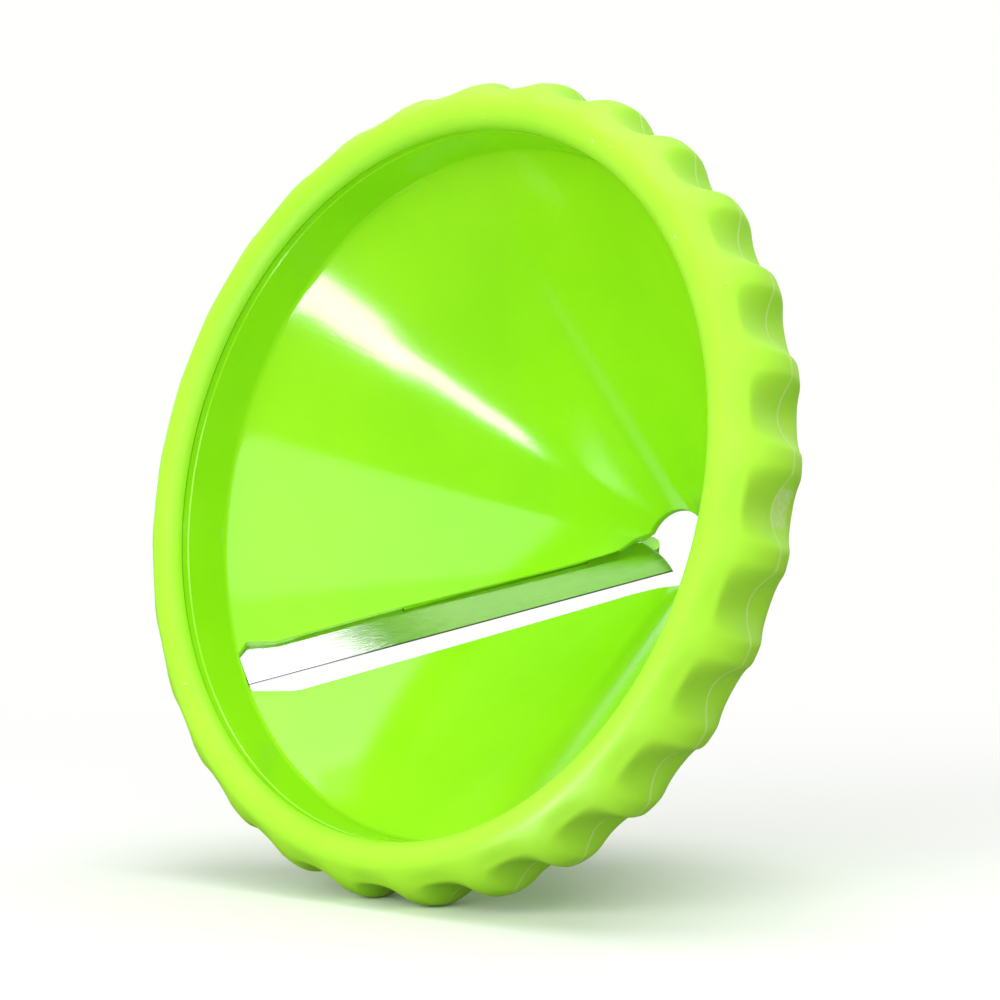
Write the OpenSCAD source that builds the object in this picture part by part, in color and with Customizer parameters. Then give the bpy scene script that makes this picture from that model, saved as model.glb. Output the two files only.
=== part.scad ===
/* [Grip ring] */
// Diameter over the ridges of the soft grip
rim_d = 100; // [92:1:110]
// Number of finger scallops around the grip
scallops = 29; // [24:1:32]
// Depth of a scallop at the grip's mould line
scallop_depth = 2.6; // [1.5:0.1:3.2]
// Radius of the finger groove that forms a scallop
scallop_r = 4.4; // [3.8:0.1:5]
// How much the floor of a scallop rises towards the mouth, in degrees
scallop_tilt = 8; // [4:0.5:10]
// How far the mould line lies behind the grip's widest line
mould_back = 1.2; // [0:0.1:2]
// Radius of the round bead around the mouth
nose_r = 2.25; // [1.8:0.05:2.6]
// Depth of the grip behind its widest line
rim_back = 6.2; // [5:0.1:6.6]
// Width of the grip from the mouth to the tops of its ridges
rim_w = 7.2; // [6.6:0.1:8.4]

/* [Funnel] */
// Depth of the collar from its front edge to the cone
collar_h = 6.7; // [5.5:0.1:9]
// How far the collar's front edge stands before the grip's widest line
collar_front = 4.4; // [3.8:0.1:5]
// Wall of the collar and of the band that carries the grip
collar_wall = 2.4; // [1.8:0.1:2.8]
// Half angle of the cone in degrees
cone_angle = 41.9; // [38:0.1:46]
// Diameter of the hole at the tip
tip_d = 10.2; // [8:0.1:13]
// Length of the straight bore at the tip
tip_land = 1.2; // [0.6:0.1:2]
// Thickness of the cone's wall
wall = 2; // [1.6:0.1:2.6]

/* [Slicing slot] */
// Where the slot lies around the funnel, in degrees
slot_angle = 215.9; // [180:0.1:300]
// Half width of the slot on the side that the food comes from
throat = 3.35; // [2.8:0.05:4]
// Half width of the slot on the side that holds the blade
slot_back = 4.45; // [4.2:0.05:4.8]
// Distance from the slot's end to the corner of the cone and the collar
slot_end = 0.55; // [0.2:0.05:1]
// How much the slot widens on the food's side at the tip hole
flare = 0.6; // [0.2:0.1:0.8]
// Length of that widening along the slot
flare_l = 4.4; // [3:0.1:6]
// Width of the slanted corner at the slot's far end
corner_w = 1.75; // [1:0.05:2.2]
// Length of the slanted corner at the slot's far end
corner_l = 5.7; // [4:0.1:7]
// Depth of the notch beside the blade's far end
notch = 1.1; // [0.6:0.1:1.5]
// Length of the notch beside the blade's far end
notch_l = 5.5; // [4:0.1:7]
// Length of the notch's slanted corner
notch_corner = 1.6; // [1:0.1:2.4]
// How far the locating lip reaches into the slot
lip_reach = 0.7; // [0.5:0.1:0.9]
// Length of the cut at the locating lip's end
lip_cut = 0.9; // [0.5:0.1:1]
// Depth of the hollow behind the blade's tip
hollow = 0.8; // [0.4:0.1:1]
// Length of the hollow behind the blade's tip
hollow_l = 3.2; // [2.6:0.1:4]
// Length over which the hollow runs out
hollow_run = 2.7; // [2:0.1:3.2]

/* [Blade] */
// Thickness of the steel
blade_t = 0.5; // [0.4:0.05:0.8]
// Width of the blade between its two ears
blade_w = 5; // [4.6:0.1:5.2]
// Width of the blade over its ears
ear_w = 9.2; // [8.4:0.1:10]
// Length of the ear at the tip, along the blade
tip_ear = 10.3; // [9:0.1:12]
// Length of the gap between the ears
ear_gap = 25.9; // [20:0.1:28]
// Length of the narrow end beside the collar
end_tab = 4.6; // [4:0.1:6]
// How much narrower that end is than the ears
tab_in = 2.3; // [1.6:0.1:3]
// Length of the slanted corner from the ear to that end
ear_slant = 2; // [1.4:0.1:3]
// Radius of the round end at the tip
blade_end_r = 9.5; // [9:0.1:11]
// Width of the ground bevel under the cutting edge
bevel_w = 1.2; // [0.8:0.1:1.6]
// Tilt of the blade against the cone's wall, in degrees
blade_tilt = 8; // [6:0.1:9]
// Skew of the blade against the slot, in degrees
blade_skew = 0.64; // [0:0.02:1]
// Height of the cutting edge above the wall of the cone
edge_lift = 0.15; // [0:0.05:0.4]
// How far the cutting edge's tip reaches into the hole, along the wall
edge_reach = 2.84; // [2:0.02:3.4]
// Distance of the cutting edge's tip from the middle of the slot
edge_side = 1.39; // [1.2:0.01:1.5]

/* [Blade keeper] */
// Thickness of the strip that clamps the blade from outside
keeper_t = 2; // [1.5:0.1:3]
// Width of the keeper behind the ears
keeper_lap = 2; // [1.4:0.1:3]
// How far the keeper's finger reaches past the cutting edge's tip
finger_reach = 0.3; // [0:0.1:1]
// Width of the keeper's finger
finger_w = 2.5; // [2:0.1:3]
// Where the keeper's strip and its seat start, from the cutting edge's tip
seat_start = 3.4; // [2.8:0.1:4]
// Width of the slanted corner of the keeper and its seat at the tip
seat_slant = 2; // [1.4:0.1:3]
// How far the keeper reaches under the blade in front of the ears
keeper_over = 0.4; // [0.2:0.1:0.5]
// How far the keeper runs past the ears
keeper_run = 1; // [0.6:0.1:1.4]
// Slanted corner at the keeper's far end
keeper_corner = 1; // [0.5:0.1:1.5]
// Gap from the seat to the back of the grip
seat_gap = 0.5; // [0.2:0.1:1]
// How far the pegs lie behind the middle of the ears
peg_shift = 0.1; // [0:0.05:0.2]
// Radius of the pegs that hold blade and keeper
peg_r = 1.2; // [1:0.1:1.4]
// Radius of the melted peg heads
head_r = 2.1; // [1.8:0.1:2.4]
// Height of the melted peg heads
head_h = 1; // [0.6:0.1:1.4]

/* [Stance] */
// How far the funnel leans back from upright, in degrees
lean = 10.3; // [0:0.1:20]

/* [Clearances] */
// Bond line between the grip and the funnel
bond = 0.05; // [0.02:0.01:0.1]
// Step from the collar up to the bead
lip_step = 0.2; // [0.1:0.05:0.4]
// Room around the blade, its ears and its pegs
fit = 0.15; // [0.1:0.05:0.2]

/* [Hidden] */
$fn = 96;
big = 200;

// Collar and cone: the funnel's axis is z, the mouth faces +z, z = 0 is the grip's widest line
rim_r = rim_d / 2;
mouth_r = rim_r - rim_w;
tip_r = tip_d / 2;
cone_top = collar_front - collar_h;
cone_slope = tan(cone_angle);
apex_z = cone_top - mouth_r / cone_slope;
tip_z = apex_z + tip_r / cone_slope;
end_z = tip_z - tip_land;
wall_shift = wall / cos(cone_angle);
band_r = mouth_r + collar_wall;
cone_out_top = cone_top + (band_r - mouth_r - wall_shift) / cone_slope;

// Grip section: a bead at the mouth that runs smoothly into one wide arc
bore_r = band_r + bond;
nose_mid_r = mouth_r + lip_step + nose_r;
nose_mid_z = collar_front + bond + lip_step;
nose_in = rim_r - nose_mid_r;
side_r = (nose_in * nose_in + nose_mid_z * nose_mid_z - nose_r * nose_r) / (2 * (nose_in - nose_r));
side_mid = rim_r - side_r;
blend_angle = atan2(nose_mid_z, nose_mid_r - side_mid);

// Scallop section: a groove between two ridges whose arcs meet it smoothly
half_pitch = 180 / scallops;
groove_mid = rim_r - scallop_depth + scallop_r;
ridge_reach = scallop_r + rim_r;
ridge_mid = (ridge_reach * ridge_reach - groove_mid * groove_mid)
    / (2 * (ridge_reach - groove_mid * cos(half_pitch)));
ridge_r = rim_r - ridge_mid;
ridge_x = ridge_mid * cos(half_pitch);
ridge_y = ridge_mid * sin(half_pitch);
touch = scallop_r / (scallop_r + ridge_r);
touch_x = groove_mid + (ridge_x - groove_mid) * touch;
touch_y = ridge_y * touch;
over_r = rim_r + 2 * scallop_depth;
merge = 0.01;

// Slot: distances run along the wall of the cone from its apex
base_run = mouth_r / sin(cone_angle);
slot_far = base_run - slot_end;
slot_deep = 4 * wall;
slot_rise = 0.78 * tip_r;

// Blade: lengths run from the cutting edge's tip towards the mouth
edge_start = tip_r / sin(cone_angle) - edge_reach;
blade_l = slot_far - edge_start - fit;
rim_ear = tip_ear + ear_gap;
ear_end = blade_l - end_tab;
tab_w = ear_w - tab_in;
peg_row = (blade_w + ear_w) / 2 + peg_shift;
peg_spots = [tip_ear - 2 * peg_r, rim_ear + 3 * peg_r, ear_end - 3 * peg_r];
seat_w = ear_w + keeper_lap;
keeper_front = blade_w - keeper_over;
keeper_end = ear_end + keeper_run;
finger_mid = keeper_front + finger_w / 2;

// Stance: the two lowest ridges touch the floor, and the origin is midway from front to back
stand = max([for (t = [0 : 0.5 : 45], a = [0 : 0.2 : 25]) ridge_drop(t, -side_r * sin(a))]);
front_y = nose_mid_r * sin(lean) + nose_mid_z * cos(lean) + nose_r;
finger_out = blade_t + keeper_t + finger_mid * sin(blade_tilt) - edge_lift;
finger_z = apex_z + (edge_start - finger_reach) * cos(cone_angle) - finger_out * sin(cone_angle);
back_y = -finger_z * cos(lean);

// Height of the funnel's centre over a point of a lowest ridge, t degrees round its top and at height z
function ridge_drop(t, z) =
    let (
        rise = (z + mould_back) * tan(scallop_tilt),
        out = rim_r + rise - ridge_r * (1 - cos(t)) / cos(scallop_tilt),
        across = ridge_r * sin(t),
        side = side_mid + sqrt(side_r * side_r - z * z),
        share = min(1, side / norm([out, across]))
    )
    (out * cos(half_pitch) + across * sin(half_pitch)) * share * cos(lean) - z * sin(lean);

// Sets the funnel on its grip, leaning back, with its mouth to the front
module place() {
    translate([0, (front_y - back_y) / 2, stand])
        rotate([90 - lean, 0, 0])
            children();
}

// Slot frame: x along the wall towards the mouth, y across the slot, z into the funnel
module in_slot() {
    translate([0, 0, apex_z])
        rotate([0, 0, slot_angle])
            rotate([0, cone_angle - 90, 0])
                children();
}

// Blade frame: x along the cutting edge, y across the blade, z out of its inner face
module in_blade() {
    in_slot()
        translate([edge_start, edge_side, edge_lift])
            rotate([0, 0, -blade_skew])
                rotate([blade_tilt, 0, 0])
                    children();
}

// A slab between two heights in the blade frame
module slab(low, high) {
    translate([0, 0, low])
        linear_extrude(high - low)
            children();
}

// Inside of the collar, cone and tip
module inner_space() {
    rotate_extrude()
        polygon([
            [0, big], [mouth_r, big], [mouth_r, cone_top],
            [tip_r, tip_z], [tip_r, end_z - big], [0, end_z - big]
        ]);
}

// Outside of the cone, with the band that the grip is moulded on
module shell() {
    rotate_extrude()
        polygon([
            [0, collar_front], [band_r, collar_front], [band_r, -rim_back],
            [band_r - collar_wall / 2, -rim_back],
            [band_r - collar_wall / 2, cone_out_top - collar_wall / 2 / cone_slope],
            [tip_r + wall_shift - tip_land * cone_slope, end_z], [0, end_z]
        ]);
}

// Slot outline, with a locating lip in the blade's gap and a flare into the tip hole
module slot_outline() {
    lip_far = edge_start + rim_ear;
    lip_near = edge_start + tip_ear;
    polygon([
        [0, throat + flare / 2], [edge_start, throat + flare / 2],
        [edge_start + flare_l, throat - flare / 2],
        [slot_far - corner_l, throat], [slot_far - fit, throat - corner_w],
        [slot_far, throat - corner_w - 3 * fit],
        [slot_far, notch_corner / 4 - slot_back], [slot_far - notch_corner, -slot_back - notch],
        [slot_far - notch_l, -slot_back],
        [lip_far, -slot_back], [lip_near, lip_reach - slot_back],
        [lip_near - lip_cut, lip_reach - lip_cut / 2 - slot_back],
        [edge_start + hollow_l + hollow_run, -slot_back], [edge_start + hollow_l, -slot_back - hollow],
        [0, -slot_back - hollow]
    ]);
}

// Flat seat for blade and keeper on the outside of the cone
module seat_outline() {
    polygon([
        [seat_start, -blade_w], [seat_start, -seat_w + seat_slant], [tip_ear, -seat_w],
        [keeper_end, -seat_w], [keeper_end + keeper_corner, -blade_w]
    ]);
}

// Everything outside the blade's inner face is open there
module seat_room() {
    in_blade() {
        slab(-slot_deep, 0)
            polygon([
                [-edge_start, 0], [-edge_start, -seat_w - fit], [keeper_end + fit, -seat_w - fit],
                [keeper_end + fit, -tab_w - fit], [blade_l + fit, -tab_w - fit], [blade_l + fit, 0]
            ]);
    }
}

// Raised land that fits the gap between the blade's ears
module land() {
    in_blade()
        slab(-blade_t, merge)
            polygon([
                [tip_ear + fit, -blade_w - 2 * fit], [tip_ear + fit, -seat_w],
                [rim_ear - fit, -seat_w], [rim_ear - fit, -blade_w - 2 * fit]
            ]);
}

// Pegs through blade and keeper, melted over at their ends
module pegs() {
    reach = blade_t + keeper_t;
    in_blade()
        for (x = peg_spots)
            translate([x, -peg_row, -reach]) {
                cylinder(r = peg_r, h = reach + merge);
                peg_head();
            }
}

// Round head of a melted peg
module peg_head() {
    ball = (head_r * head_r + head_h * head_h) / (2 * head_h);
    rotate_extrude()
        intersection() {
            translate([0, ball - head_h])
                circle(ball);
            translate([0, -head_h])
                square([head_r, head_h]);
        }
}

module funnel_body() {
    color([0.45, 0.85, 0.05])
        place() {
            difference() {
                union() {
                    shell();
                    difference() {
                        in_blade()
                            slab(0, slot_rise)
                                seat_outline();
                        translate([0, 0, -rim_back - seat_gap])
                            cylinder(r = big, h = big);
                    }
                }
                inner_space();
                in_slot()
                    slab(-slot_deep, slot_rise)
                        slot_outline();
                seat_room();
            }
            land();
            pegs();
        }
}

// Section of a scallop: x across the groove, y out from the funnel's axis
module scallop_section() {
    difference() {
        polygon([
            [-touch_y, touch_x], [-ridge_y, ridge_x],
            [-over_r * sin(half_pitch), over_r * cos(half_pitch)],
            [over_r * sin(half_pitch), over_r * cos(half_pitch)],
            [ridge_y, ridge_x], [touch_y, touch_x]
        ]);
        for (side = [-1, 1])
            translate([side * ridge_y, ridge_x])
                circle(ridge_r);
    }
    translate([0, groove_mid])
        circle(scallop_r + merge);
}

// One finger groove, from behind the grip to in front of it, turned about the mould line
module scallop() {
    reach = rim_back + rim_w;
    translate([rim_r, 0, -mould_back])
        rotate([0, scallop_tilt, 0])
            translate([-rim_r, 0, -reach])
                rotate([0, 0, -90])
                    linear_extrude(2 * reach)
                        scallop_section();
}

// Section of the grip: bead, side arc and back face around the band
module grip_section() {
    difference() {
        union() {
            intersection() {
                translate([side_mid, 0])
                    circle(side_r);
                polygon([
                    [side_mid, 0], [side_mid + big * cos(blend_angle), big * sin(blend_angle)],
                    [big, -rim_back], [side_mid, -rim_back]
                ]);
            }
            translate([nose_mid_r, nose_mid_z])
                circle(nose_r);
        }
        translate([0, -big])
            square([bore_r, big + collar_front + bond]);
    }
}

module grip_ring() {
    color([0.80, 1.00, 0.38])
        place()
            difference() {
                rotate_extrude()
                    grip_section();
                for (i = [0 : scallops - 1])
                    rotate([0, 0, -90 + 2 * half_pitch * i])
                        scallop();
            }
}

module blade() {
    color([0.82, 0.84, 0.85])
        place()
            in_blade()
                difference() {
                    slab(-blade_t, 0)
                        blade_outline();
                    rotate([90, 0, 90])
                        translate([0, 0, -big / 2])
                            linear_extrude(big)
                                polygon([[merge, 0], [merge, -2 * blade_t], [-2 * bevel_w, -2 * blade_t],
                                    [-bevel_w, -blade_t]]);
                    for (x = peg_spots)
                        translate([x, -peg_row, -blade_t - 1])
                            cylinder(r = peg_r + fit, h = blade_t + 2);
                }
}

// Stamped outline: straight edge, round tip, two ears and a narrow end
module blade_outline() {
    intersection() {
        polygon([
            [0, 0], [0, -ear_w], [tip_ear, -ear_w], [tip_ear, -blade_w], [rim_ear, -blade_w],
            [rim_ear, -ear_w], [ear_end, -ear_w], [ear_end + ear_slant, -tab_w], [blade_l, -tab_w],
            [blade_l, 0]
        ]);
        union() {
            translate([blade_end_r, 0])
                circle(blade_end_r);
            translate([blade_end_r, -big / 2])
                square(big);
        }
    }
}

module blade_keeper() {
    color([0.66, 0.90, 0.28])
        place()
            in_blade()
                difference() {
                    slab(-blade_t - keeper_t, -blade_t)
                        keeper_outline();
                    for (x = peg_spots)
                        translate([x, -peg_row, -blade_t - keeper_t - 1])
                            cylinder(r = peg_r + fit, h = keeper_t + 2);
                }
}

// Keeper outline: a strip along the ears that ends in a round finger at the tip
module keeper_outline() {
    translate([finger_w / 2 - finger_reach, -finger_mid])
        circle(finger_w / 2);
    translate([finger_w / 2 - finger_reach, -finger_mid - finger_w / 2])
        square([tip_ear, finger_w]);
    polygon([
        [seat_start, -keeper_front], [seat_start, -seat_w + seat_slant], [tip_ear, -seat_w],
        [keeper_end, -seat_w], [keeper_end, -keeper_front - keeper_corner],
        [keeper_end - keeper_corner, -keeper_front]
    ]);
}

funnel_body();
grip_ring();
blade();
blade_keeper();
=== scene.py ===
import math

import bmesh
import bpy
from mathutils import Matrix, Vector


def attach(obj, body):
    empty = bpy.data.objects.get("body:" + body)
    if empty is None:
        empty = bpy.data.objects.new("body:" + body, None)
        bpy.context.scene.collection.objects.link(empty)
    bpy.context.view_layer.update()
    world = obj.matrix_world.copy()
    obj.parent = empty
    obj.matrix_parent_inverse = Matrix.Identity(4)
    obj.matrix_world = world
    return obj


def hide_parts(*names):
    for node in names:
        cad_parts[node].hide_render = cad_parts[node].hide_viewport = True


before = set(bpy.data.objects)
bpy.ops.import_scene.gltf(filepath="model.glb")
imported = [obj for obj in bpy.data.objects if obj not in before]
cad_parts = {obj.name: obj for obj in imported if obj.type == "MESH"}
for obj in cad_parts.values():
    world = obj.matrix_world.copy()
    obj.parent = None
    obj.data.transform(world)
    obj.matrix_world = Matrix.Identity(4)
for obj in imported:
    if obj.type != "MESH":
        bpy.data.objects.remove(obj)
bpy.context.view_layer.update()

# Funnel body: one hard, glossy moulding in lime green. A steep cone opens into a short collar,
# and on the outside it carries a flat seat, a locating land and three pegs for the blade.
# The pegs are melted over the keeper; a slot along the wall lets the slices out.
MM = 0.001
CONE_ANGLE = math.radians(41.92)
APEX_Z = -50.0
MOUTH_R = 42.56
CONE_TOP = -2.6
TIP_R = 5.1
TIP_Z = -44.32
TIP_LAND = 1.2
TIP_END = -45.52
WALL = 2.0
COLLAR_FRONT = 4.4
BAND_R = 45.2
BAND_WALL = 1.2
BAND_BACK = -6.2

funnel_place = (
    Matrix.Translation((0, -16.533 * MM, 49.1033 * MM))
    @ Matrix.Rotation(math.radians(79.7), 4, "X")
    @ Matrix.Scale(MM, 4)
)
slot_frame = (
    Matrix.Translation((0, 0, APEX_Z))
    @ Matrix.Rotation(math.radians(215.9), 4, "Z")
    @ Matrix.Rotation(CONE_ANGLE - math.radians(90), 4, "Y")
)
blade_frame = (
    slot_frame
    @ Matrix.Translation((4.797, 1.39, 0.15))
    @ Matrix.Rotation(math.radians(-0.64), 4, "Z")
    @ Matrix.Rotation(math.radians(8), 4, "X")
)


class Shade:
    """A node socket that takes part in plain arithmetic."""

    def __init__(self, tree, out=None):
        self.tree = tree
        self.out = out

    def make(self, kind, settings=None, values=None, out=0):
        node = self.tree.nodes.new(kind)
        for key, value in (settings or {}).items():
            setattr(node, key, value)
        for key, value in (values or {}).items():
            if isinstance(value, Shade):
                self.tree.links.new(value.out, node.inputs[key])
            else:
                node.inputs[key].default_value = value
        return Shade(self.tree, node.outputs[out])

    def maths(self, operation, *terms):
        return self.make("ShaderNodeMath", {"operation": operation}, dict(enumerate(terms)))

    def __add__(self, other):
        return self.maths("ADD", self, other)

    def __radd__(self, other):
        return self.maths("ADD", other, self)

    def __sub__(self, other):
        return self.maths("SUBTRACT", self, other)

    def __rsub__(self, other):
        return self.maths("SUBTRACT", other, self)

    def __mul__(self, other):
        return self.maths("MULTIPLY", self, other)

    def __rmul__(self, other):
        return self.maths("MULTIPLY", other, self)

    def step(self, low, high):
        return self.make("ShaderNodeMapRange", {"interpolation_type": "SMOOTHSTEP"},
                         {"Value": self, "From Min": low, "From Max": high})

    def along(self, direction, origin):
        moved = self.make("ShaderNodeVectorMath", {"operation": "SUBTRACT"}, {0: self, 1: origin})
        return self.make("ShaderNodeVectorMath", {"operation": "DOT_PRODUCT"}, {0: moved, 1: direction},
                         out="Value")

    def noise(self, scale, detail=2.0, roughness=0.5):
        return self.make("ShaderNodeTexNoise", None,
                         {"Vector": self, "Scale": scale, "Detail": detail, "Roughness": roughness})

    def blend(self, first, second):
        return self.make("ShaderNodeMix", {"data_type": "RGBA"}, {0: self, 6: first, 7: second}, out=2)


def new_finish(name):
    finish = bpy.data.materials.new(name)
    finish.use_nodes = True
    shader = finish.node_tree.nodes["Principled BSDF"]
    place = Shade(finish.node_tree).make("ShaderNodeTexCoord", out="Object")
    return finish, shader, place


def feed(shader, socket, shade):
    shade.tree.links.new(shade.out, shader.inputs[socket])


def bump_under(shader, height, strength, distance):
    feed(shader, "Normal", height.make("ShaderNodeBump", None,
                                       {"Height": height, "Strength": strength, "Distance": distance}))


def new_piece(name, bm):
    mesh = bpy.data.meshes.new(name)
    bm.to_mesh(mesh)
    bm.free()
    piece = bpy.data.objects.new(name, mesh)
    bpy.context.collection.objects.link(piece)
    return piece


def rounded_outline(points, rounds, longest):
    bm = bmesh.new()
    bm.faces.new([bm.verts.new((x, y, 0)) for x, y in points])
    for number, size in rounds.items():
        corner = min(bm.verts, key=lambda v: (v.co.xy - Vector(points[number])).length)
        bmesh.ops.bevel(bm, geom=[corner], offset=size, offset_type="OFFSET", segments=6,
                        profile=0.5, affect="VERTICES", material=-1)
    bm.faces.ensure_lookup_table()
    walk = [v.co.xy.copy() for v in bm.faces[0].verts]
    bm.free()
    dense = []
    for start, end in zip(walk, walk[1:] + walk[:1]):
        parts = int((end - start).length / longest) + 1
        dense += [start.lerp(end, step / parts) for step in range(parts)]
    return dense


def close_loops(bm, loops):
    for low, high in zip(loops, loops[1:]):
        for number in range(len(low)):
            after = (number + 1) % len(low)
            bm.faces.new((low[number], low[after], high[after], high[number]))
    bm.faces.new(loops[0])
    bm.faces.new(loops[-1])
    bmesh.ops.recalc_face_normals(bm, faces=bm.faces)


def prism(name, points, low, high, frame_of_piece, edge=0.0):
    bm = bmesh.new()
    loops = [[bm.verts.new((x, y, z)) for x, y in points] for z in (low, high)]
    close_loops(bm, loops)
    if edge:
        bmesh.ops.bevel(bm, geom=bm.edges[:], offset=edge, offset_type="OFFSET", segments=3,
                        profile=0.5, affect="EDGES", material=-1)
    bmesh.ops.transform(bm, matrix=frame_of_piece, verts=bm.verts)
    return new_piece(name, bm)


def revolved(name, points, rounds, longest, steps):
    bm = bmesh.new()
    profile = [bm.verts.new((r, 0, z)) for r, z in rounded_outline(points, rounds, longest)]
    for first, second in zip(profile, profile[1:] + profile[:1]):
        bm.edges.new((first, second))
    bmesh.ops.spin(bm, geom=bm.verts[:] + bm.edges[:], cent=(0, 0, 0), axis=(0, 0, 1), angle=math.tau,
                   steps=steps, use_merge=True)
    bmesh.ops.remove_doubles(bm, verts=bm.verts, dist=0.0005)
    bmesh.ops.recalc_face_normals(bm, faces=bm.faces)
    return new_piece(name, bm)


def combine(piece, tool, operation):
    for _ in range(2 - len(piece.data.materials)):
        piece.data.materials.append(None)
    for _ in range(2):
        tool.data.materials.append(None)
    tool.data.polygons.foreach_set("material_index", [1] * len(tool.data.polygons))
    change = piece.modifiers.new("combine", "BOOLEAN")
    change.operation = operation
    change.solver = "MANIFOLD"
    change.object = tool
    bpy.context.view_layer.objects.active = piece
    bpy.ops.object.modifier_apply(modifier=change.name)
    bpy.data.objects.remove(tool)


def even_normals(piece, smooth_angle):
    """Corner normals that stay even where a cut has left long triangles; turned faces have index 0."""
    bm = bmesh.new()
    bm.from_mesh(piece.data)
    bm.normal_update()
    limit = math.cos(math.radians(smooth_angle))

    def radial(point):
        return Vector((point.x, point.y, 0)).normalized()

    own = []
    for f in bm.faces:
        if f.material_index == 0:
            own.append(Vector((f.normal.dot(radial(f.calc_center_median())), 0, f.normal.z)).normalized())
        else:
            own.append(f.normal.copy())
    corners = []
    for f in bm.faces:
        mine = own[f.index]
        for v in f.verts:
            near = {}
            for g in v.link_faces:
                other = own[g.index]
                if g.material_index == f.material_index and other.dot(mine) > limit:
                    near[tuple(round(part, 2) for part in other)] = other
            total = sum(near.values(), Vector())
            if f.material_index == 0:
                total = total.x * radial(v.co) + Vector((0, 0, total.z))
            corners.append(total.normalized())
    bm.free()
    return corners


wall_shift = WALL / math.cos(CONE_ANGLE)
slope = math.tan(CONE_ANGLE)
body = revolved(
    "funnel_body_moulding",
    [
        (43.14, COLLAR_FRONT), (43.08, 3.62), (42.92, 3.45), (MOUTH_R, CONE_TOP), (TIP_R, TIP_Z),
        (TIP_R, TIP_END), (TIP_R + wall_shift - TIP_LAND * slope, TIP_END), (BAND_R - BAND_WALL, -3.96),
        (BAND_R - BAND_WALL, BAND_BACK), (BAND_R, BAND_BACK), (BAND_R, COLLAR_FRONT),
    ],
    {3: 0.5, 4: 0.25, 5: 0.3, 6: 0.3, 7: 0.6, 8: 0.2, 9: 0.2},
    longest=1.9,
    steps=288,
)

# The seat for the blade, flush with the cone inside and clear of the grip behind.
BLADE_W = 5.0
BLADE_T = 0.5
TIP_EAR = 10.3
SEAT_START = 3.4
SEAT_W = 11.2
KEEPER_END = 54.99
seat = prism(
    "seat",
    [(SEAT_START, -BLADE_W), (SEAT_START, -SEAT_W + 2), (TIP_EAR, -SEAT_W), (KEEPER_END, -SEAT_W),
     (KEEPER_END + 1, -BLADE_W)],
    0, 4, blade_frame, edge=0.2,
)
inside = revolved(
    "inside", [(0, 3), (42.9, 3), (MOUTH_R, CONE_TOP), (TIP_R, TIP_Z), (TIP_R, -60), (0, -60)], {},
    longest=200, steps=288,
)
combine(seat, inside, "DIFFERENCE")
above = prism("above", [(-90, -90), (90, -90), (90, 90), (-90, 90)], BAND_BACK - 0.5, 40, Matrix())
combine(seat, above, "DIFFERENCE")
combine(body, seat, "UNION")


def wall_height(x, y):
    """Height of the cone's inside over the slot's frame."""
    bend = math.cos(2 * CONE_ANGLE)
    reach = max(x, 4.0) * math.sin(2 * CONE_ANGLE)
    return (reach - math.sqrt(reach ** 2 - bend * (2 * y * math.cos(CONE_ANGLE)) ** 2)) / (2 * bend)


# The slot, cut with a rounded edge on the inside; its sides lie along the blade and the food's way.
SLOT_ROUND = 0.2
SLOT_DEEP = 8
slot_points = rounded_outline(
    [
        (4.4, 5.05), (5.5, 4.9), (6.68, 4.06), (7.88, 3.64), (9.02, 3.47), (12.2, 3.35), (57.84, 3.55),
        (63.39, 1.75), (63.6, 1.3), (63.6, -4.15), (61.94, -5.7), (58.04, -4.6), (41.0, -4.55),
        (19.0, -3.88), (12.5, -3.81), (10.69, -3.85), (9.83, -4.01), (8.93, -4.24), (7.9, -4.43),
        (6.5, -4.32), (4.4, -4.32),
    ],
    {2: 0.6, 6: 1.0, 8: 0.3, 9: 0.3, 10: 0.3, 11: 0.6},
    longest=1.0,
)


def undercut(x, y):
    """How far the wall under the slot's edge falls back on the blade's side, where the blade covers it."""
    if y > 0 or x > 56:
        return 0.0
    if x < 10.2:
        return 1.6
    return 5.4 if x < 14.6 else 1.9


turns = [math.radians(90 - 13 * step) for step in range(7)]
sides = [(SLOT_ROUND * (1 - math.sin(turn)), SLOT_ROUND * (1 - math.cos(turn))) for turn in turns]
sides.append((sides[-1][0] + 0.15, sides[-1][1] - 0.15 * math.tan(turns[-1])))
bm = bmesh.new()
loops = [[bm.verts.new((x, y - undercut(x, y), -SLOT_DEEP)) for x, y in slot_points]]
for spread, depth in sides:
    ring = []
    for number, point in enumerate(slot_points):
        along = slot_points[(number + 1) % len(slot_points)] - slot_points[number - 1]
        away = Vector((-along.y, along.x)).normalized()
        x, y = point + (spread - SLOT_ROUND) * min(max((point.x - 7) / 4, 0), 1) * away
        ring.append(bm.verts.new((x, y, wall_height(x, y) - depth)))
    loops.append(ring)
loops.append([bm.verts.new((v.co.x, v.co.y, 6)) for v in loops[-1]])
close_loops(bm, loops)
bmesh.ops.transform(bm, matrix=slot_frame, verts=bm.verts)
slot = new_piece("slot", bm)
combine(body, slot, "DIFFERENCE")

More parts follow.
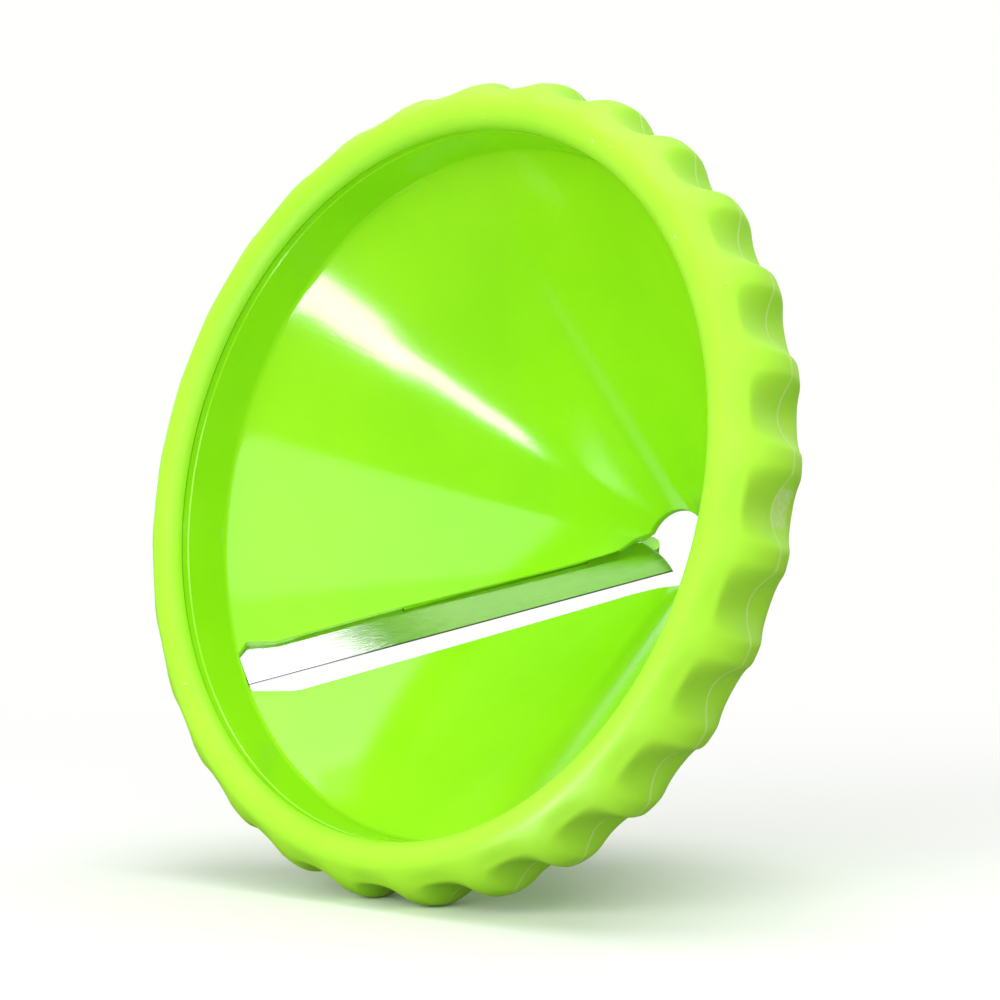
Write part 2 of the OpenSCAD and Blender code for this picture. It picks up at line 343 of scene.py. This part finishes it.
# Room for the blade and the keeper, with the land in the gap between the blade's ears.
BLADE_L = 58.59
TAB_W = 6.9
RIM_EAR = 36.2
FIT = 0.15
ROOM_START = -4.8
seat_room = prism(
    "seat_room",
    [(ROOM_START, 0), (ROOM_START, -SEAT_W - FIT), (KEEPER_END + FIT, -SEAT_W - FIT),
     (KEEPER_END + FIT, -TAB_W - FIT), (BLADE_L + FIT, -TAB_W - FIT), (BLADE_L + FIT, 0)],
    -SLOT_DEEP, 0, blade_frame,
)
combine(body, seat_room, "DIFFERENCE")
land_front = -BLADE_W - 2 * FIT
land = prism(
    "land",
    [(TIP_EAR + FIT, land_front), (TIP_EAR + FIT, -SEAT_W), (RIM_EAR - FIT, -SEAT_W),
     (RIM_EAR - FIT, land_front)],
    -BLADE_T, 0.2, blade_frame,
)
combine(body, land, "UNION")

# Three pegs, melted over to round heads behind the keeper.
PEG_SPOTS = (7.9, 39.8, 50.39)
PEG_ROW = 7.2
PEG_R = 1.2
HEAD_BALL = 2.705
HEAD_SINK = 1.705
STACK = 2.5
for along in PEG_SPOTS:
    bm = bmesh.new()
    bmesh.ops.create_cone(bm, cap_ends=True, segments=32, radius1=PEG_R, radius2=PEG_R, depth=2.9)
    bmesh.ops.translate(bm, verts=bm.verts, vec=(along, -PEG_ROW, -STACK / 2))
    bmesh.ops.transform(bm, matrix=blade_frame, verts=bm.verts)
    combine(body, new_piece("peg", bm), "UNION")
    bm = bmesh.new()
    bmesh.ops.create_uvsphere(bm, u_segments=32, v_segments=24, radius=HEAD_BALL)
    bmesh.ops.translate(bm, verts=bm.verts, vec=(0, 0, HEAD_SINK))
    bmesh.ops.bisect_plane(bm, geom=bm.verts[:] + bm.edges[:] + bm.faces[:], plane_co=(0, 0, 0),
                           plane_no=(0, 0, 1), clear_outer=True)
    bmesh.ops.holes_fill(bm, edges=[e for e in bm.edges if e.is_boundary])
    bmesh.ops.translate(bm, verts=bm.verts, vec=(along, -PEG_ROW, -STACK))
    bmesh.ops.transform(bm, matrix=blade_frame, verts=bm.verts)
    combine(body, new_piece("peg_head", bm), "UNION")
corners = even_normals(body, 32)
body.data.transform(funnel_place)
body.data.polygons.foreach_set("use_smooth", [True] * len(body.data.polygons))
body.data.polygons.foreach_set("material_index", [0] * len(body.data.polygons))
body.data.normals_split_custom_set([funnel_place.to_3x3().normalized() @ corner for corner in corners])

gloss_green, shader, place = new_finish("gloss_lime_green")
cloud = place.noise(55, 3)
feed(shader, "Base Color", cloud.step(0.3, 0.7).blend((0.33, 0.81, 0.010, 1), (0.37, 0.85, 0.013, 1)))
feed(shader, "Roughness", 0.09 + 0.04 * place.noise(900, 2))
bump_under(shader, place.noise(1600, 2), 0.02, 0.0004)
shader.inputs["IOR"].default_value = 1.5
body.data.materials.clear()
body.data.materials.append(gloss_green)
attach(body, "root")
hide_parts("funnel_body")

# Blade: a strip of stainless steel, stamped with two ears, ground to one bevel and polished.
# Its ears sit on the funnel's outside seat and the pegs pass through them.
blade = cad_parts["blade"]
steel, shader, place = new_finish("ground_steel")
blade_axes = (funnel_place @ blade_frame).to_3x3().normalized()
edge_way = blade_axes.col[0]
across_way = blade_axes.col[1]
edge_tip = (funnel_place @ blade_frame).translation
grain_place = place.make("ShaderNodeCombineXYZ", None, {
    "X": place.along(edge_way, edge_tip) * 0.04,
    "Y": place.along(across_way, edge_tip),
})
grain = grain_place.noise(9000, 3, 0.6)
polish = grain.step(0.3, 0.7).blend((0.62, 0.63, 0.62, 1), (0.76, 0.765, 0.76, 1))
from_edge = place.along(across_way, edge_tip)
# Painted shade: a thin dark band along the cutting edge stands in for the bevel's darker reflection.
edge_shade_band = from_edge.step(-0.00032, -0.00014)
# Painted shade: the blade's sides and back are painted dark; they are also rougher, as sheared steel is.
sheared_rough_and_shaded = 1 - place.along(blade_axes.col[2], edge_tip).step(-0.00014, -0.00005)
polish_with_edge_shade = edge_shade_band.blend(polish, (0.10, 0.09, 0.12, 1))
feed(shader, "Base Color", sheared_rough_and_shaded.blend(polish_with_edge_shade, (0.22, 0.24, 0.21, 1)))
feed(shader, "Roughness", 0.07 + 0.08 * grain + 0.25 * sheared_rough_and_shaded)
hollow = place.make("ShaderNodeBump", None, {
    "Height": 0.028 * place.along(edge_way, edge_tip), "Distance": 1.0})
feed(shader, "Normal", place.make("ShaderNodeBump", None, {
    "Height": grain, "Strength": 0.08, "Distance": 0.0002, "Normal": hollow}))
shader.inputs["Metallic"].default_value = 1.0
blade.data.materials.clear()
blade.data.materials.append(steel)

# Blade keeper: a moulded strip of the same green plastic that clamps the blade from outside.
# Three melted pegs hold it; its round finger supports the blade's tip.
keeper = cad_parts["blade_keeper"]
keeper_green, shader, place = new_finish("keeper_lime_green")
cloud = place.noise(80, 3)
feed(shader, "Base Color", cloud.step(0.3, 0.7).blend((0.30, 0.74, 0.03, 1), (0.35, 0.80, 0.04, 1)))
feed(shader, "Roughness", 0.26 + 0.08 * place.noise(1200, 2))
bump_under(shader, place.noise(2400, 2), 0.04, 0.0004)
keeper.data.materials.clear()
keeper.data.materials.append(keeper_green)

# Grip ring: a soft, matte elastomer in a paler green, moulded over the band round the mouth.
# Twenty-nine finger grooves, deepest near the mould line, run out before the bead at the mouth.
# The two mould halves meet in that fine line, a little behind the widest part.
SCALLOPS = 29
SIDE_R = 7.8245
SIDE_MID = 42.1755
NOSE_R = 2.25
NOSE_MID = (45.25, 4.65)
BORE_R = 45.25
RIM_BACK = 6.2
MOULD_BACK = 1.2
GROOVE_DEPTHS = (
    (-6.2, 0.4), (-3.5, 1.9), (-1.2, 2.4), (1.0, 2.15), (2.5, 1.65), (3.6, 1.08), (4.6, 0.5), (5.4, 0.4),
    (6.6, 0.0),
)
GROOVE_WIDTH = 0.74
GROOVE_SOFT = 0.18
half_pitch = math.pi / SCALLOPS


def groove_depth(z):
    """Depth of a groove at a height over the widest line, smooth through GROOVE_DEPTHS."""
    last = len(GROOVE_DEPTHS) - 1
    if z >= GROOVE_DEPTHS[last][0]:
        return 0.0
    number = max(n for n in range(last) if n == 0 or GROOVE_DEPTHS[n][0] <= z)
    slopes = []
    for n in (number, number + 1):
        (z_low, d_low), (z_high, d_high) = GROOVE_DEPTHS[max(n - 1, 0)], GROOVE_DEPTHS[min(n + 1, last)]
        slopes.append((d_high - d_low) / (z_high - z_low))
    (z_low, d_low), (z_high, d_high) = GROOVE_DEPTHS[number:number + 2]
    run = z_high - z_low
    part = (z - z_low) / run
    rest = 1 - part
    return (d_low * (1 + 2 * part) * rest ** 2 + d_high * (1 + 2 * rest) * part ** 2
            + run * part * rest * (slopes[0] * rest - slopes[1] * part))


def groove_section(side):
    """Share of the depth from 1 in the middle of a groove to 0 on the ridge beside it."""
    def soft(side):
        below = 1 - (side / GROOVE_WIDTH) ** 2
        return below + math.hypot(below, GROOVE_SOFT)
    return (soft(side) - soft(1)) / (soft(0) - soft(1))


bm = bmesh.new()
blend_angle = math.atan2(NOSE_MID[1], NOSE_MID[0] - SIDE_MID)
back_angle = math.asin(RIM_BACK / SIDE_R)
start = bm.verts.new((NOSE_MID[0] - NOSE_R, 0, NOSE_MID[1]))
turned = bmesh.ops.spin(bm, geom=[start], cent=(NOSE_MID[0], 0, NOSE_MID[1]), axis=(0, 1, 0),
                        angle=math.pi - blend_angle, steps=20)
nose_end = [v for v in turned["geom_last"] if isinstance(v, bmesh.types.BMVert)][0]
turned = bmesh.ops.spin(bm, geom=[nose_end], cent=(SIDE_MID, 0, 0), axis=(0, 1, 0),
                        angle=blend_angle + back_angle, steps=56)
side_end = [v for v in turned["geom_last"] if isinstance(v, bmesh.types.BMVert)][0]
chain = [side_end]
bead_back = 4.45
for r, z in ((BORE_R + 0.8, -RIM_BACK), (BORE_R, -RIM_BACK), (BORE_R, 0), (BORE_R, bead_back),
             (43.2, bead_back)):
    chain.append(bm.verts.new((r, 0, z)))
    bm.edges.new(chain[-2:])
bm.edges.new((chain[-1], start))
bmesh.ops.spin(bm, geom=bm.verts[:] + bm.edges[:], cent=(0, 0, 0), axis=(0, 0, 1), angle=math.tau,
               steps=SCALLOPS * 28, use_merge=True)
bmesh.ops.remove_doubles(bm, verts=bm.verts, dist=0.0005)
bmesh.ops.recalc_face_normals(bm, faces=bm.faces)
for v in bm.verts:
    reach = math.hypot(v.co.x, v.co.y)
    if reach < BORE_R + 0.5:
        continue
    turn = math.atan2(v.co.y, v.co.x) + math.pi / 2
    local = (turn + half_pitch) % (2 * half_pitch) - half_pitch
    scale = 1 - groove_depth(v.co.z) * groove_section(local / half_pitch) / reach
    v.co.x *= scale
    v.co.y *= scale
for e in bm.edges:
    e.smooth = e.calc_face_angle(0) < math.radians(45)
for f in bm.faces:
    f.smooth = True
bmesh.ops.transform(bm, matrix=funnel_place, verts=bm.verts)
grip = new_piece("grip_ring_overmould", bm)

soft_green, shader, place = new_finish("soft_lime_green")
axis_way = funnel_place.to_3x3().normalized().col[2]
height = place.along(axis_way, funnel_place.translation)
line = 1 - height.maths("ABSOLUTE", height + MOULD_BACK * MM).step(0.00008, 0.00022)
cloud = place.noise(70, 3)
tone = cloud.step(0.3, 0.7).blend((0.43, 0.92, 0.028, 1), (0.465, 0.95, 0.036, 1))
tone = (0.75 * line).blend(tone, (0.72, 0.98, 0.34, 1))
gate_turn = math.radians(-2.6)
gate_r = 47.9
gate_place = funnel_place @ Vector((gate_r * math.cos(gate_turn), gate_r * math.sin(gate_turn), -2.8))
round_way = funnel_place.to_3x3().normalized() @ Vector((-math.sin(gate_turn), math.cos(gate_turn), 0))
gate_side = place.along(round_way, gate_place)
gate_deep = place.along(axis_way, gate_place)
ragged = 0.0009 * (place.noise(1500, 4) - 0.5)
gate = (1 - (gate_side.maths("ABSOLUTE", gate_side) + ragged).step(0.0020, 0.0024)) * (
    1 - (gate_deep.maths("ABSOLUTE", gate_deep) + ragged).step(0.0014, 0.0018)) * (
    place.along(funnel_place.to_3x3().normalized().col[0], funnel_place.translation).step(0.02, 0.03))
tone = (gate * (0.25 + 0.4 * place.noise(1900, 4).step(0.40, 0.66))).blend(tone, (0.80, 0.97, 0.52, 1))
scuff = place.noise(950, 2).step(0.735, 0.76) * place.noise(60, 1).step(0.45, 0.62)
feed(shader, "Base Color", (0.45 * scuff).blend(tone, (0.80, 0.98, 0.50, 1)))
feed(shader, "Roughness", 0.46 + 0.12 * place.noise(700, 3) + 0.1 * gate)
bump_under(shader, 0.15 * place.noise(2600, 3) + line + 0.6 * gate * place.noise(2200, 3), 0.14, 0.0002)
shader.inputs["Subsurface Weight"].default_value = 0.3
shader.inputs["Subsurface Radius"].default_value = (0.3, 1.0, 0.06)
shader.inputs["Subsurface Scale"].default_value = 0.0015
grip.data.materials.append(soft_green)
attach(grip, "root")
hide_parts("grip_ring")

# Floor: a sheet that is white to the camera and runs out of the picture on all sides.
# It only carries the soft shadow under the grip, and far away it is as white as the room.
bm = bmesh.new()
bmesh.ops.create_grid(bm, x_segments=1, y_segments=1, size=6)
floor = new_piece("floor", bm)
white = bpy.data.materials.new("white_sheet")
white.use_nodes = True
tree = white.node_tree
tree.nodes.remove(tree.nodes["Principled BSDF"])
place = Shade(tree).make("ShaderNodeTexCoord", out="Object")
seen = place.make("ShaderNodeLightPath", out="Is Camera Ray")
mirrored = Shade(tree, seen.out.node.outputs["Is Glossy Ray"])
# Painted dim reflection: to glossy rays the sheet is painted dark grey, so the cone reflects the floor
# dimly; bounce light sees it mid grey.
floor_tone_dim_in_reflections = mirrored.blend((0.50, 0.50, 0.49, 1), (0.12, 0.12, 0.12, 1))
floor_tone_dim_in_reflections = seen.blend(floor_tone_dim_in_reflections, (1.11, 1.12, 1.10, 1))
sheet = place.make("ShaderNodeBsdfDiffuse", None, {"Color": floor_tone_dim_in_reflections})
glow = place.make("ShaderNodeEmission", None, {"Color": (1, 1, 0.99, 1), "Strength": 1.0})
away = place.make("ShaderNodeVectorMath", {"operation": "LENGTH"}, {0: place}, out="Value")
far_white = seen * away.step(0.07, 0.30)
mixed = place.make("ShaderNodeMixShader", None, {0: far_white, 1: sheet, 2: glow})
tree.links.new(mixed.out, tree.nodes["Material Output"].inputs["Surface"])
floor.data.materials.append(white)

# Studio: an even white room with a large soft box in front, one overhead and one that faces the mouth.
# Two low strips before the mouth only show as the streaks in the glossy cone.
world = bpy.data.worlds.new("white_room")
world.use_nodes = True
bpy.context.scene.world = world
tree = world.node_tree
room = tree.nodes["Background"]
room.inputs["Color"].default_value = (1, 1, 1, 1)
room.inputs["Strength"].default_value = 0.40
seen = Shade(tree).make("ShaderNodeLightPath", out="Is Camera Ray")
mirrored = Shade(tree, seen.out.node.outputs["Is Glossy Ray"])
through = Shade(tree, seen.out.node.outputs["Is Transmission Ray"])
shown = seen.maths("MAXIMUM", seen.maths("MAXIMUM", seen, mirrored), through)
backdrop = shown.make("ShaderNodeBackground", None, {"Color": (1, 1, 0.99, 1), "Strength": 1.0})
mixed = shown.make("ShaderNodeMixShader", None, {0: shown, 1: Shade(tree, room.outputs[0]), 2: backdrop})
tree.links.new(mixed.out, tree.nodes["World Output"].inputs["Surface"])


def soft_box(name, at, toward, size_x, size_y, glow):
    lamp = bpy.data.lights.new(name, "AREA")
    lamp.shape = "RECTANGLE"
    lamp.size = size_x
    lamp.size_y = size_y
    lamp.energy = glow * math.pi * size_x * size_y
    box = bpy.data.objects.new(name, lamp)
    box.location = at
    box.rotation_euler = (Vector(toward) - Vector(at)).to_track_quat("-Z", "Y").to_euler()
    box.visible_camera = False
    bpy.context.collection.objects.link(box)
    return box


soft_box("front", (0.72, -0.82, 0.46), (0, 0, 0.05), 1.4, 0.9, 1.3)
soft_box("above", (0.10, 0.08, 0.85), (0, 0, 0.05), 0.7, 0.7, 2.0)
soft_box("left", (0.055, -1.17, 0.30), (0, 0, 0.05), 0.8, 0.8, 4.4).visible_glossy = False
for number, (x, y, width) in enumerate(((0.0162, -0.095, 0.024), (0.0220, -0.061, 0.012))):
    strip = soft_box("strip_%d" % number, (x, y, 0.002), (x, y, 1), width, 0.036, 22.0)
    strip.rotation_euler = (math.pi, 0, math.radians(-9.6))
    strip.visible_diffuse = False

# Camera: level with the middle of the funnel, well to its right.
VIEW_TURN = math.radians(42.52)
VIEW_FAR = 313.85
VIEW_ASIDE = 6.064
VIEW_BELOW = 1.639
to_camera = Vector((math.sin(VIEW_TURN), -math.cos(VIEW_TURN), 0))
to_right = Vector((math.cos(VIEW_TURN), math.sin(VIEW_TURN), 0))
lens = bpy.data.cameras.new("view")
lens.sensor_width = 36
lens.sensor_fit = "HORIZONTAL"
lens.lens = 93.84
view = bpy.data.objects.new("view", lens)
view.location = (funnel_place.translation + VIEW_ASIDE * MM * to_right - Vector((0, 0, VIEW_BELOW * MM))
                 + VIEW_FAR * MM * to_camera)
view.rotation_euler = (math.radians(90), 0, VIEW_TURN)
lens.clip_start = 0.01
bpy.context.collection.objects.link(view)
bpy.context.scene.camera = view
bpy.context.scene.view_settings.view_transform = "Standard"
